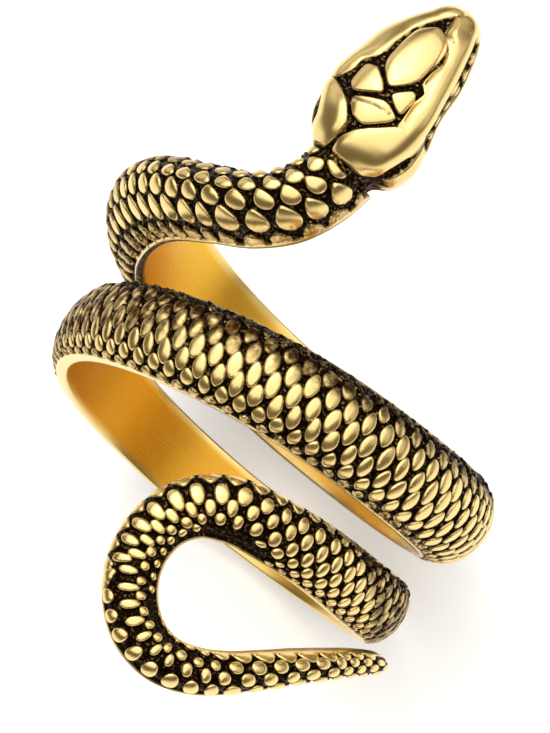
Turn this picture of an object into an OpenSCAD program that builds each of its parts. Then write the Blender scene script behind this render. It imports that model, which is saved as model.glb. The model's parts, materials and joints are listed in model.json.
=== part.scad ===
// Snake wrap ring. One casting: a scaled snake body wound two and a half turns round the
// finger, with its head along the finger at one end and its tail curled flat at the other.
// The body is drawn on the unrolled surface of the finger hole and wrapped round it.

/* [Ring] */
// Radius of the finger hole
bore_radius = 9.45; // [7.5:0.05:11.5]

/* [Scales] */
// Length of one scale along the coiled body
body_scale = 1.1; // [0.8:0.05:1.6]
// Length of one scale on the neck
neck_scale = 1.5; // [1:0.05:2.2]
// Length of body, back from the head, over which the scales grow
neck_length = 16; // [8:1:30]
// Height of a scale above the groove round it
scale_relief = 0.24; // [0:0.02:0.4]

/* [Rest] */
// Turn about the finger axis that puts the flat of the back down
rest_roll = 16.9; // [-180:0.1:180]
// Lean of the finger axis, from upright to lying with the head end a little up
rest_lean = -78.89; // [-90:0.01:0]
// Shift to the right that centres the ring
rest_right = 0.41; // [-20:0.01:20]
// Shift along the finger that centres the ring
rest_along = -7.25; // [-20:0.01:20]
// Height of the foot of the finger axis above the surface
rest_height = 10.29; // [0:0.01:20]

/* [Hidden] */
// Columns of body_rows
TURN = 0;        // degrees round the finger, 0 at the front, growing towards the head
RISE = 1;        // millimetres along the finger, growing towards the head
HALF_WIDTH = 2;  // half the width of the band
RIM = 3;         // height of the smooth rim above the finger hole
CREST = 4;       // height of the middle row of scales above the finger hole
FLOOR = 5;       // height of the inner face, below 0 where the finger hole cuts it

// One row for each section of the body, from the tail tip to the head
body_rows = [
  [-639.0, -0.62, 0.30, 2.00, 2.35,  1.80],
  [-643.5, -0.84, 0.48, 1.85, 2.38,  1.45],
  [-652.3, -1.52, 0.66, 1.40, 2.05,  0.90],
  [-662.4, -2.52, 0.76, 0.95, 1.72,  0.40],
  [-671.3, -3.52, 0.84, 0.60, 1.50,  0.00],
  [-680.6, -4.58, 0.93, 0.50, 1.45, -0.40],
  [-689.3, -5.60, 1.02, 0.47, 1.45, -0.60],
  [-698.5, -6.38, 1.12, 0.47, 1.45, -0.60],
  [-708.0, -6.68, 1.20, 0.47, 1.45, -0.60],
  [-716.8, -6.24, 1.26, 0.47, 1.45, -0.60],
  [-723.0, -5.30, 1.28, 0.47, 1.45, -0.60],
  [-727.4, -3.95, 1.29, 0.47, 1.45, -0.60],
  [-728.7, -2.70, 1.30, 0.47, 1.45, -0.60],
  [-727.4, -1.30, 1.34, 0.47, 1.45, -0.60],
  [-723.0, -0.10, 1.44, 0.47, 1.47, -0.60],
  [-715.0,  0.75, 1.56, 0.47, 1.50, -0.60],
  [-700.0,  1.20, 1.60, 0.47, 1.50, -0.60],
  [-660.0,  1.40, 1.71, 0.47, 1.54, -0.60],
  [-600.0,  1.78, 1.79, 0.47, 1.56, -0.60],
  [-568.0,  2.05, 1.83, 0.47, 1.54, -0.60],
  [-557.0,  2.17, 1.85, 0.47, 1.38, -0.60],
  [-546.0,  2.28, 1.87, 0.47, 1.62, -0.60],
  [-525.0,  2.63, 1.90, 0.47, 1.66, -0.60],
  [-480.0,  3.62, 2.02, 0.47, 1.60, -0.60],
  [-420.0,  5.42, 2.15, 0.47, 1.75, -0.60],
  [-360.0,  6.75, 2.28, 0.50, 2.04, -0.60],
  [-300.0,  7.09, 2.38, 0.50, 2.45, -0.60],
  [-250.0,  7.47, 2.49, 0.50, 2.72, -0.60],
  [-209.0,  8.03, 2.56, 0.52, 2.86, -0.60],
  [-198.0,  8.22, 2.57, 0.53, 2.62, -0.60],
  [-187.0,  8.42, 2.58, 0.55, 2.86, -0.60],
  [-165.0,  8.92, 2.56, 0.57, 3.02, -0.60],
  [-140.0,  9.62, 2.50, 0.60, 3.18, -0.60],
  [-100.0, 10.84, 2.30, 0.70, 3.40, -0.60],
  [ -72.0, 12.00, 2.02, 0.90, 3.50, -0.60],
  [ -50.0, 12.60, 1.80, 1.00, 3.45, -0.60],
  [ -37.0, 13.20, 1.70, 1.00, 3.40, -0.60],
  [ -29.0, 14.15, 1.65, 1.00, 3.35, -0.60],
  [ -24.0, 15.50, 1.60, 1.00, 3.30, -0.60],
  [ -21.5, 17.00, 1.60, 1.00, 3.30, -0.60]
];

// Columns of head_rows
JAW_HALF = 2;      // half the width of the jaw
RIDGE_HALF = 3;    // half the width of the smooth upper edge
RIDGE_HEIGHT = 4;  // height of that edge above the finger hole
CROWN_HEIGHT = 5;  // height of the middle of the head
CHIN_HEIGHT = 6;   // height of the underside, below 0 where the finger hole cuts it

// One row for each section of the head, from the back of the jaw to the nose
head_rows = [
  [-21.3, 17.1, 1.80, 1.50, 2.60, 3.45, -0.60],
  [-21.1, 17.5, 2.15, 1.90, 3.00, 3.80, -0.60],
  [-20.8, 18.2, 2.55, 2.24, 3.20, 4.00, -0.60],
  [-20.4, 19.4, 2.85, 2.40, 3.30, 4.12, -0.60],
  [-19.9, 20.7, 2.80, 2.32, 3.30, 4.08, -0.60],
  [-19.2, 22.3, 2.36, 2.00, 3.05, 3.80, -0.60],
  [-18.4, 23.9, 1.80, 1.58, 2.65, 3.30, -0.50],
  [-17.8, 25.2, 1.32, 1.18, 2.25, 2.70, -0.15],
  [-17.6, 26.0, 0.88, 0.80, 1.90, 2.20,  0.40],
  [-17.5, 26.4, 0.40, 0.36, 1.60, 1.75,  0.95]
];

// Grooves between the plates of the head, each from one [turn, rise] point to another
shield_front = [-16.6, 24.6];
shield_left_front = [-20.3, 24.3];
shield_left = [-21.5, 23.8];
shield_left_back = [-23.1, 21.9];
shield_back = [-18.9, 20.7];
shield_right_back = [-13.2, 21.6];
shield_right = [-12.0, 23.9];
snout = [-15.4, 25.4];
brow_left = [-26.3, 21.6];
temple_left = [-26.3, 20.1];
temple_left_end = [-29.2, 19.9];
temple_right = [-12.2, 19.5];
temple_right_end = [-10.6, 21.6];
crown_left = [-24.3, 19.2];
crown_back = [-20.4, 18.3];
nape = [-22.0, 17.1];
head_grooves = [
  [shield_front, shield_left_front], [shield_left_front, shield_left],
  [shield_left, shield_left_back], [shield_left_back, shield_back],
  [shield_back, shield_right_back], [shield_right_back, shield_right],
  [shield_right, shield_front], [shield_front, snout],
  [shield_left_back, brow_left], [brow_left, temple_left], [temple_left, shield_back],
  [shield_right_back, temple_right], [temple_right, shield_back],
  [shield_right_back, temple_right_end],
  [temple_left, crown_left], [crown_left, crown_back], [crown_back, temple_right],
  [temple_left, temple_left_end], [crown_back, nape]
];
groove_depth = 0.25;
groove_half_width = 0.30;
crown_stretch = 1.4;  // the crown is this much farther from the finger axis than the hole

narrow_relief = 0.22;  // greatest relief as a share of half the width, near the tail tip
hole_foot = -20;    // the cutting cylinder starts below the tail
hole_length = 60;   // and ends above the nose
hole_seam = -132.5; // direction of the line, under the neck, where its surface closes on itself

dome_steps = 6;        // points over the top of a body section
flank_steps = 7;       // points of a head section for each one of a body section
ring_steps = dome_steps + 2;
head_steps = ring_steps * flank_steps;
head_sections = 46;

function arc_length(turn) = turn * PI / 180 * bore_radius;
function flat_gap(a, b) = norm([arc_length(b[TURN] - a[TURN]), b[RISE] - a[RISE]]);

// Running length at each row of a table
function running_length(rows) =
  [for (i = 0, s = 0; i < len(rows);
        s = i < len(rows) - 1 ? s + flat_gap(rows[i], rows[i + 1]) : s, i = i + 1) s];

// Slope of every column at row i, from the rows before and after it
function row_slope(rows, at, i) =
  i == 0 ? (rows[1] - rows[0]) / (at[1] - at[0])
  : i == len(rows) - 1 ? (rows[i] - rows[i - 1]) / (at[i] - at[i - 1])
  : let (back = at[i] - at[i - 1], ahead = at[i + 1] - at[i])
    ((rows[i + 1] - rows[i]) / ahead * back + (rows[i] - rows[i - 1]) / back * ahead) / (back + ahead);

// The last row that starts before length s
function row_before(at, s, i = 0) = i >= len(at) - 2 || at[i + 1] > s ? i : row_before(at, s, i + 1);

// A smooth curve through all rows, read at length s
function smooth_row(rows, at, s) =
  let (i = row_before(at, s), gap = at[i + 1] - at[i], t = (s - at[i]) / gap)
  (2 * pow(t, 3) - 3 * pow(t, 2) + 1) * rows[i]
  + (pow(t, 3) - 2 * pow(t, 2) + t) * gap * row_slope(rows, at, i)
  + (3 * pow(t, 2) - 2 * pow(t, 3)) * rows[i + 1]
  + (pow(t, 3) - pow(t, 2)) * gap * row_slope(rows, at, i + 1);

// From the unrolled surface to the ring: u round the finger, z along it, h above it
function wrapped(u, z, h) =
  let (turn = u / bore_radius * 180 / PI)
  [(bore_radius + h) * sin(turn), -(bore_radius + h) * cos(turn), z];

body_at = running_length(body_rows);
body_length = body_at[len(body_rows) - 1];

// Half a scale, which grows along the neck
function half_scale(s) =
  let (part = max(0, (s - (body_length - neck_length)) / neck_length))
  (body_scale + (neck_scale - body_scale) * part) / 2;

stations = [for (s = 0; s < body_length; s = s + half_scale(s)) s];

// Direction across the path, pointing to its right on the unrolled surface
function across(rows, at, s) =
  let (a = smooth_row(rows, at, max(0, s - 0.05)), b = smooth_row(rows, at, s + 0.05),
       step = [arc_length(b[TURN] - a[TURN]), b[RISE] - a[RISE]])
  [step[1], -step[0]] / norm(step);

// A point of a section: v to the right of the path, h above the finger hole
function section_point(row, side, v, h) =
  wrapped(arc_length(row[TURN]) + side[0] * v, row[RISE] + side[1] * v, h);

// One section of the body. Every other point is raised, so that the scales alternate.
function body_section(k) =
  let (s = stations[k], row = smooth_row(body_rows, body_at, s), side = across(body_rows, body_at, s),
       w = row[HALF_WIDTH], base = row[FLOOR], rise = row[CREST] - row[RIM],
       relief = min(scale_relief, w * narrow_relief))
  [section_point(row, side, w, base),
   for (j = [0:dome_steps])
     let (a = 180 * j / dome_steps, rim = j == 0 || j == dome_steps,
          drop = rim || (j + k) % 2 == 0 ? 0 : relief)
     section_point(row, side, (w - drop) * cos(a), row[RIM] + (rise - drop) * sin(a)),
   section_point(row, side, -w, base)];

head_at = running_length(head_rows);
head_length = head_at[len(head_rows) - 1];

// Shape of one side of a head section: share of the way round, then share of the row's sizes
jaw_share = [[0, 0.90], [0.035, 0.97], [0.07, 1.00], [0.105, 0.97], [0.13, 0.90]];
jaw_climb = [[0, 0], [0.035, 0.22], [0.07, 0.42], [0.105, 0.58], [0.13, 0.66]];
jaw_end = 0.13;
ridge_start = 0.165;
ridge_end = 0.215;

function head_across(row, f) =
  let (g = f <= 0.5 ? f : 1 - f, way = f <= 0.5 ? 1 : -1, jaw = row[JAW_HALF], ridge = row[RIDGE_HALF])
  way * (g < jaw_end ? jaw * lookup(g, jaw_share)
    : lookup(g, [[jaw_end, jaw * 0.90], [ridge_start, ridge], [ridge_end, ridge * 0.86], [0.5, 0]]));

function head_height(row, f) =
  let (g = f <= 0.5 ? f : 1 - f, ridge = row[RIDGE_HEIGHT], chin = row[CHIN_HEIGHT])
  g < jaw_end ? chin + (ridge - chin) * lookup(g, jaw_climb)
    : g < ridge_end ? lookup(g, [[jaw_end, chin + (ridge - chin) * 0.66], [ridge_start, ridge * 0.88],
        [ridge_end, ridge * 1.04]])
    : ridge * 1.04 + (row[CROWN_HEIGHT] - ridge * 1.04) * sin(90 * (g - ridge_end) / (0.5 - ridge_end));

// Distance from a point of the head to a groove
function groove_distance(p, groove) =
  let (a = flat_head(groove[0]), line = flat_head(groove[1]) - a, q = flat_head(p) - a,
       t = max(0, min(1, q * line / (line * line))))
  norm(q - t * line);

function flat_head(p) = [arc_length(p[TURN]) * crown_stretch, p[RISE]];

function groove_cut(p) =
  let (near = min([for (groove = head_grooves) groove_distance(p, groove)]))
  near > groove_half_width ? 0 : groove_depth * (1 - near / groove_half_width);

function head_section(k) =
  let (s = head_length * k / head_sections, row = smooth_row(head_rows, head_at, s),
       side = across(head_rows, head_at, s))
  [for (j = [0:head_steps])
     let (f = j / head_steps, v = head_across(row, f), on_top = f > ridge_start && f < 1 - ridge_start,
          turn = row[TURN] + side[0] * v / arc_length(1), rise = row[RISE] + side[1] * v,
          cut = on_top ? groove_cut([turn, rise]) : 0)
     section_point(row, side, v, head_height(row, f) - cut)];

body_sections = [for (k = [0:len(stations) - 1]) body_section(k)];
head_rings = [for (k = [0:head_sections]) head_section(k)];

body_count = ring_steps + 1;
head_count = head_steps + 1;
body_points = [for (ring = body_sections) each ring];
head_points = [for (ring = head_rings) each ring];

// Faces between two rings of the same count. On the body each square is cut between its two
// low corners, so that four of them make one raised scale. On the head all are cut one way.
function band_faces(first, count, k, scaled) =
  [for (j = [0:count - 1])
     let (a = first + k * count + j, b = first + k * count + (j + 1) % count, c = b + count, d = a + count)
     each scaled && (k + j) % 2 == 1 ? [[a, b, d], [b, c, d]] : [[a, b, c], [a, c, d]]];

body_faces = [for (k = [0:len(body_sections) - 2]) each band_faces(0, body_count, k, true)];
head_first = len(body_points);
head_faces = [for (k = [0:head_sections - 1]) each band_faces(head_first, head_count, k, false)];

// Faces that widen the last ring of the body into the first ring of the head
last_ring = head_first - body_count;
neck_faces =
  [for (j = [0:ring_steps - 1])
     let (a = last_ring + j, b = a + 1, c = head_first + j * flank_steps, half = floor(flank_steps / 2))
     each [for (m = [0:flank_steps - 1]) m < half ? [a, c + m + 1, c + m] : [b, c + m + 1, c + m],
           [a, b, c + half]]];
neck_floor = [[last_ring + ring_steps, last_ring, head_first],
  [last_ring + ring_steps, head_first, head_first + head_steps]];

tail_cap = [[for (j = [body_count - 1:-1:0]) j]];
nose_cap = [[for (j = [0:head_count - 1]) head_first + head_sections * head_count + j]];

module snake_body() {
  polyhedron(
    points = concat(body_points, head_points),
    faces = concat(body_faces, neck_faces, neck_floor, head_faces, tail_cap, nose_cap),
    convexity = 8);
}

module finger_hole() {
  rotate([0, 0, hole_seam])
    translate([0, 0, hole_foot])
      cylinder(r = bore_radius, h = hole_length, $fn = 180);
}

module snake_coil() {
  color("gold")
    translate([rest_right, rest_along, rest_height])
      rotate([rest_lean, 0, 0])
        rotate([0, 0, rest_roll])
          difference() {
            snake_body();
            finger_hole();
          }
}

snake_coil();
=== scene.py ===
"""Snake wrap ring: the cast surface, with its scales, head and brushed hole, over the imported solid.

Lengths in the tables are in millimetres, in the ring's own frame: the finger axis is Z, the
head end is up and the front of the ring looks along -Y. The last step of every piece leans the
ring over to the way it lies, as the solid does, and turns millimetres into metres.
"""

import json
import math
from functools import reduce

import bpy
import numpy as np
from mathutils import Matrix


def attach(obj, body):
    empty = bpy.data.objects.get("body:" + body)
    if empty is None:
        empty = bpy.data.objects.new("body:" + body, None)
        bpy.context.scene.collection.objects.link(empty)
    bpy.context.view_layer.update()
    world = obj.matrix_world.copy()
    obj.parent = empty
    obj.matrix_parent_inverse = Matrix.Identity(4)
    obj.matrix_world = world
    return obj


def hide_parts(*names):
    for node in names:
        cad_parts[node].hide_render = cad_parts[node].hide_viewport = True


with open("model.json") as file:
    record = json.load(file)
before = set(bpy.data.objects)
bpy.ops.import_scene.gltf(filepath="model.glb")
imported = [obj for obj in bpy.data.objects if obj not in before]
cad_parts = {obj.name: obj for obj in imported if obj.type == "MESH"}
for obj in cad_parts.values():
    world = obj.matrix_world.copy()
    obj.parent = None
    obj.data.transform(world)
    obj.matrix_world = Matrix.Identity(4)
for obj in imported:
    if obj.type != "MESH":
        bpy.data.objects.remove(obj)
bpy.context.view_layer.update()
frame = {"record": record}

bl_info = {
    "name": "Snake Wrap Ring",
    "version": (1, 0, 0),
    "blender": (4, 5, 0),
    "location": "3D View > Sidebar > Snake Ring",
    "description": "Makes a cast snake ring with raised scales, a plated head and a brushed hole",
    "category": "Add Mesh",
}

MM = 0.001
BORE = frame["record"]["mounts"][0]["dims"]["r_mm"]

# How the ring lies: turned about the finger axis, leaned on its back and set on the floor
REST_ROLL = math.radians(16.9)
REST_LEAN = math.radians(-78.89)
REST_PLACE = (0.41, -7.25, 10.29)

# The body from the tail tip to the head: turn round the finger in degrees, rise along it,
# half width of the band, height of its rim, height of its crest and height of its inner face
TURN, RISE, HALF_WIDTH, RIM, CREST, INNER = range(6)
BODY_ROWS = np.array([
    [-639.0, -0.62, 0.30, 2.00, 2.35, 1.80],
    [-643.5, -0.84, 0.48, 1.85, 2.38, 1.45],
    [-652.3, -1.52, 0.66, 1.40, 2.05, 0.90],
    [-662.4, -2.52, 0.76, 0.95, 1.72, 0.40],
    [-671.3, -3.52, 0.84, 0.60, 1.50, 0.00],
    [-680.6, -4.58, 0.93, 0.50, 1.45, -0.40],
    [-689.3, -5.60, 1.02, 0.47, 1.45, -0.60],
    [-698.5, -6.38, 1.12, 0.47, 1.45, -0.60],
    [-708.0, -6.68, 1.20, 0.47, 1.45, -0.60],
    [-716.8, -6.24, 1.26, 0.47, 1.45, -0.60],
    [-723.0, -5.30, 1.28, 0.47, 1.45, -0.60],
    [-727.4, -3.95, 1.29, 0.47, 1.45, -0.60],
    [-728.7, -2.70, 1.30, 0.47, 1.45, -0.60],
    [-727.4, -1.30, 1.34, 0.47, 1.45, -0.60],
    [-723.0, -0.10, 1.44, 0.47, 1.47, -0.60],
    [-715.0, 0.75, 1.56, 0.47, 1.50, -0.60],
    [-700.0, 1.20, 1.60, 0.47, 1.50, -0.60],
    [-660.0, 1.40, 1.71, 0.47, 1.54, -0.60],
    [-600.0, 1.78, 1.79, 0.47, 1.56, -0.60],
    [-568.0, 2.05, 1.83, 0.47, 1.54, -0.60],
    [-557.0, 2.17, 1.85, 0.47, 1.38, -0.60],
    [-546.0, 2.28, 1.87, 0.47, 1.62, -0.60],
    [-525.0, 2.63, 1.90, 0.47, 1.66, -0.60],
    [-480.0, 3.62, 2.02, 0.47, 1.60, -0.60],
    [-420.0, 5.42, 2.15, 0.47, 1.75, -0.60],
    [-360.0, 6.75, 2.28, 0.50, 2.04, -0.60],
    [-300.0, 7.09, 2.38, 0.50, 2.45, -0.60],
    [-250.0, 7.47, 2.49, 0.50, 2.72, -0.60],
    [-209.0, 8.03, 2.56, 0.52, 2.86, -0.60],
    [-198.0, 8.22, 2.57, 0.53, 2.62, -0.60],
    [-187.0, 8.42, 2.58, 0.55, 2.86, -0.60],
    [-165.0, 8.92, 2.56, 0.57, 3.02, -0.60],
    [-140.0, 9.62, 2.50, 0.48, 3.18, -0.60],
    [-100.0, 10.84, 2.30, 0.32, 3.40, -0.60],
    [-72.0, 12.00, 2.02, 0.28, 3.50, -0.60],
    [-50.0, 12.60, 1.80, 0.28, 3.45, -0.60],
    [-37.0, 13.20, 1.70, 0.34, 3.40, -0.60],
    [-29.0, 14.15, 1.65, 0.42, 3.35, -0.60],
    [-24.0, 15.50, 1.60, 0.48, 3.30, -0.60],
    [-21.5, 17.00, 1.60, 0.55, 3.30, -0.60],
])

# The head from the neck to the nose: turn, rise, half width of the jaw, half width and height
# of the ridges over the eyes, height of the crown and height of the chin
JAW_HALF, RIDGE_HALF, RIDGE_HEIGHT, CROWN_HEIGHT, CHIN_HEIGHT = range(2, 7)
HEAD_ROWS = np.array([
    [-21.5, 16.7, 1.50, 1.35, 2.35, 3.20, -0.60],
    [-21.3, 17.1, 1.80, 1.50, 2.60, 3.44, -0.60],
    [-21.1, 17.5, 2.22, 1.78, 2.86, 3.66, -0.60],
    [-20.8, 18.2, 2.62, 2.06, 3.12, 3.92, -0.60],
    [-20.4, 19.4, 2.80, 2.28, 3.30, 4.12, -0.60],
    [-19.9, 20.7, 2.80, 2.32, 3.30, 4.08, -0.60],
    [-19.2, 22.3, 2.36, 2.00, 3.05, 3.80, -0.60],
    [-18.4, 23.9, 1.80, 1.58, 2.65, 3.30, -0.50],
    [-17.8, 25.2, 1.32, 1.18, 2.25, 2.70, -0.15],
    [-17.6, 26.0, 0.88, 0.80, 1.90, 2.20, 0.40],
    [-17.5, 26.4, 0.40, 0.36, 1.60, 1.75, 0.95],
])

# One side of a head section: share of the way round, half width as a share of the jaw's, climb
# from the chin to the ridge. Above it come the mouth, the ridge and the crown.
JAW_SHARE = np.array([
    [0.000, 0.90, 0.00],
    [0.035, 0.97, 0.22],
    [0.070, 1.00, 0.42],
    [0.105, 0.97, 0.58],
    [0.130, 0.90, 0.66],
])
RIDGE_START = 0.165
RIDGE_END = 0.215
RIDGE_FOOT, RIDGE_SWELL = 0.88, 0.16    # its foot and its rise from there, shares of its height
RIDGE_INSET = 0.14      # how far its top leans in, a share of its half width

# Where marks on the head fade in or out, in mm of rise
NECK_EDGE = (16.55, 17.05)
ROUGH_NECK = 16.7
UNDER_START = (16.9, 17.4)
JAW_START, JAW_END = (17.2, 17.6), (19.6, 20.2)
FLANK_START = (19.4, 20.4)
MOUTH_START = (19.6, 20.6)
SPOTS_START, SPOTS_END = (20.2, 20.4), (25.0, 25.4)
SNOUT_START = (25.2, 25.6)
HOLE_END = (24.0, 25.4)
# And as shares of the way round it from the chin, where the left side is past a half
UNDER_TOP = (0.078, 0.090)
JAW_TOP = (0.132, 0.144)
TOP_START = (0.158, 0.172)
MOUTH_PLACE, MOUTH_EDGE = 0.162, (0.006, 0.016)
FLANK_SIDE = (0.5, 0.6)
LOBE_DROP = 0.014       # how much lower the right lobe ends than the ridge starts
# Where a section is narrower: from and to round it, middle and reach along it in mm, and by how
# much, which is a share on the right and mm on the left
RIGHT_JAW = ((0.12, 0.20), 21.2, 1.8, 0.20)
LEFT_SNOUT = ((0.72, 0.84), 23.5, 1.5, 0.34)
# The strip's small scales and the eye: rise of the first in mm, share of the way round, mm in a
# whole way round, half length and half width in mm
SPOT = (20.4, 0.112, 22, 0.30, 0.26)
SPOT_STEP = 0.85
EYE = (22.9, 0.146, 18, 0.46, 0.24)
SECTION_BLUR = 12       # mesh faces over which the corners of a section are rounded
BEVEL, BEVEL_REACH = 0.45, 0.6          # slope and reach in mm beside the right edge
CREASE_WIDTH, CREASE_DEPTH, MOUTH_DEPTH = 0.10, 0.05, 0.10

# Plates of the head's top: how far their edges round down in mm, and their outlines seen from
# the front, as (right, up) in mm
HEAD_PLATES = {
    "shield": (0.13, [
        (-4.8, 24.1), (-4, 24.7), (-3.3, 24.4), (-3, 23.9), (-3.1, 23), (-3.3, 22), (-3.6, 21.5),
        (-4.3, 20.9), (-4.9, 21.5), (-5.1, 22), (-5, 23.1)]),
    "left_plate": (0.10, [
        (-5.8, 21.3), (-5.3, 21.4), (-4.7, 20.9), (-4.4, 20.5), (-5.6, 19.9), (-5.9, 20.2)]),
    "back_plate": (0.12, [
        (-5.5, 19.6), (-4, 20.2), (-3.2, 19.8), (-3.3, 19.5), (-4.3, 18.7), (-5, 18.9)]),
    "right_plate": (0.10, [
        (-4, 20.6), (-3.2, 21.3), (-2.9, 21.1), (-3.1, 20)]),
    "left_lobe": (0.16, [
        (-6.4, 19.8), (-5.6, 19.2), (-5.05, 18.4), (-5.1, 17.6), (-5.3, 16.8), (-5.65, 16.5),
        (-6.2, 16.9), (-6.4, 18.2), (-6.65, 18.8), (-6.9, 19.35), (-8, 20), (-8, 20.6),
        (-7.2, 20.3), (-6.9, 20)]),
    "left_rim": (0.16, [
        (-6.7, 20.1), (-6.3, 20.8), (-6.2, 21.5), (-5.6, 22.1), (-5.4, 23.1), (-5.1, 24.1),
        (-4.6, 24.8), (-4.1, 25.4), (-3.7, 25.8), (-3.3, 25.9), (-3, 27.2), (-5.2, 27.2),
        (-8.5, 24), (-8.5, 20.4), (-7.3, 20.3)]),
    "right_lobe": (0.17, [
        (-4.4, 18.3), (-2.9, 19.4), (-2.8, 19.6), (-2.8, 21), (-2.7, 21.3), (-2.6, 21.6), (-3, 22),
        (-2.9, 22.7), (-2.7, 23.4), (-2.9, 24.1), (-3.4, 24.6), (-3.6, 24.8), (-3.6, 25.7),
        (-3.4, 27.2), (-1.6, 27.2), (0.5, 24.7), (0.5, 20.4), (-1.5, 18.95), (-1.9, 18),
        (-2.3, 17.15), (-3.2, 16.7), (-4.3, 16.65), (-4.82, 17), (-4.85, 17.6)]),
}
# The edge that runs up the right of the head, and the slope between it and the channel
HEAD_EDGE = [
    (-2.75, 19.45), (-2.3, 19.5), (-2.4, 20.4), (-2.3, 21.2), (-2.5, 22.3), (-2.6, 22.9),
    (-2.8, 24), (-3, 24.5), (-3.35, 25.6),
]
HEAD_SLOPE = HEAD_EDGE + [
    (-3.7, 25.6), (-3.7, 24.7), (-3.3, 24.3), (-3.1, 23), (-3.2, 22), (-2.9, 21), (-3, 19.5),
]
# Fine creases: across the back plate and across the slope by the snout
HEAD_CREASES = [
    [(-5.4, 19.55), (-4.4, 19.75), (-3.5, 19.8)],
    [(-3.6, 24.8), (-3.2, 24.6), (-3, 24.5)],
]

# Where marks on the body fade in or out: lengths along it in mm, shares of the way over it from
# the right rim, and distances from the rims in mm
TEETH_START, TEETH_END = (15.5, 17.0), (27.0, 30.0)
INTO_HEAD = (140.2, 140.6)
ROUGH_END = (0.10, 0.20)
CRUMPLED_START = (0.68, 0.86)
STAIN_AND_SHADE_FADE = 0.22
RIGHT_RIM_FADE, LEFT_RIM_FADE = (0.0, 0.07), (0.03, 0.10)
SMALLEST_END = 0.02     # size of the last section of an end, as a share of the full one
# Sizes in mm: half width from which grooves have their full depth, how far crumpled metal may
# stand proud, wear where the ring rests and how far up it goes, and the lumps and grain
FULL_RELIEF_HALF, MOST_PROUD = 0.9, 0.02
WEAR_DEPTH, WEAR_HEIGHT = 0.09, 1.2
BODY_LUMP, BODY_GRAIN, HEAD_LUMP, HEAD_GRAIN = 0.42, 0.15, 0.40, 0.16

GRID_STEP = 0.043       # length of a mesh face along the body
DOME_FACES = 104        # mesh faces over the scaled top of the body
WALL_FACES = 4          # and up each smooth side
HOLE_FACES = 12         # and across the inner face
HEAD_LENGTH_FACES = 240
HEAD_ROUND_FACES = 300
PIECES = [
    ("tail_curl", 0, 24), ("lower_coil", 24, 50), ("middle_coil", 50, 79.5),
    ("upper_coil", 79.5, 109), ("neck", 109, 141),
]


def linear(hex_colour):
    """The linear colour of an sRGB hex value such as "#E0B040"."""
    parts = np.array([int(hex_colour[i:i + 2], 16) / 255 for i in (1, 3, 5)])
    parts = np.where(parts <= 0.04045, parts / 12.92, ((parts + 0.055) / 1.055) ** 2.4)
    return (*parts.tolist(), 1.0)


def smooth_step(low, high, x):
    """0 below low, 1 above high, and an S curve between: 3t^2 - 2t^3."""
    t = np.clip((x - low) / (high - low), 0, 1)
    return t * t * (3 - 2 * t)


def window(x, start, end):
    """1 between two soft steps, up over the pair start and down over the pair end."""
    return smooth_step(*start, x) * (1 - smooth_step(*end, x))


def bell(x, reach):
    """A bell curve that is 1 at 0: exp(-(x / reach)^2)."""
    return np.exp(-(x / reach) ** 2)


def rounded_end(way, length):
    """Size of a section at way from an end, as a share of the full one: a quarter of an ellipse,
    sqrt(1 - (1 - way / length)^2)."""
    left = 1 - np.minimum(way / length, 1)
    return np.sqrt(np.clip(1 - left**2, SMALLEST_END**2, 1))[:, None]


def arc_length(turn):
    """Length round the finger hole of an angle in degrees."""
    return np.radians(turn) * BORE


def running_length(rows):
    """Length along the unrolled path at each row of a table."""
    steps = np.hypot(np.diff(arc_length(rows[:, TURN])), np.diff(rows[:, RISE]))
    return np.concatenate([[0.0], np.cumsum(steps)])


def smooth_rows(rows, at, s):
    """The table read at lengths s: cubic Hermite curves through the rows, with slopes that are
    the mean of the slopes before and after a row, each weighted by the other's length."""
    gap = np.diff(at)[:, None]
    rate = np.diff(rows, axis=0) / gap
    inner = (rate[1:] * gap[:-1] + rate[:-1] * gap[1:]) / (gap[1:] + gap[:-1])
    slope = np.vstack([rate[:1], inner, rate[-1:]])
    i = np.clip(np.searchsorted(at, s, side="right") - 1, 0, len(at) - 2)
    g = (at[i + 1] - at[i])[..., None]
    t = (s - at[i])[..., None] / g
    start = (2 * t**3 - 3 * t**2 + 1) * rows[i] + (t**3 - 2 * t**2 + t) * g * slope[i]
    end = (3 * t**2 - 2 * t**3) * rows[i + 1] + (t**3 - t**2) * g * slope[i + 1]
    return start + end


def across(rows, at, s):
    """Direction to the right of the path on the unrolled hole: its tangent turned by 90 degrees."""
    a = smooth_rows(rows, at, np.maximum(0, s - 0.05))
    b = smooth_rows(rows, at, np.minimum(at[-1], s + 0.05))
    step = np.stack([arc_length(b[..., TURN] - a[..., TURN]), b[..., RISE] - a[..., RISE]], -1)
    step /= np.linalg.norm(step, axis=-1, keepdims=True)
    return np.stack([step[..., 1], -step[..., 0]], -1)


def carried(rows, faces):
    """Lengths along a table's path, its rows read there, and the direction to the right."""
    at = running_length(rows)
    s = np.linspace(0, at[-1], faces + 1)
    return s, smooth_rows(rows, at, s)[:, None, :], across(rows, at, s)[:, None, :]


def on_ring(row, side, v, h):
    """The point v to the right of the path and h above the hole, wrapped round the finger:
    x = (R + h) sin(u / R), y = -(R + h) cos(u / R), where u is the way round the hole."""
    u = arc_length(row[..., TURN]) + side[..., 0] * v
    z = row[..., RISE] + side[..., 1] * v
    return np.stack([(BORE + h) * np.sin(u / BORE), -(BORE + h) * np.cos(u / BORE), z], -1)


def laid_down(points):
    """The ring's frame in millimetres to the part's frame in metres: roll about the finger axis,
    lean over about X, then shift."""
    c, s = math.cos(REST_ROLL), math.sin(REST_ROLL)
    roll = np.array([[c, -s, 0], [s, c, 0], [0, 0, 1]])
    c, s = math.cos(REST_LEAN), math.sin(REST_LEAN)
    lean = np.array([[1, 0, 0], [0, c, -s], [0, s, c]])
    return (points @ (lean @ roll).T + np.array(REST_PLACE)) * MM


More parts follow.
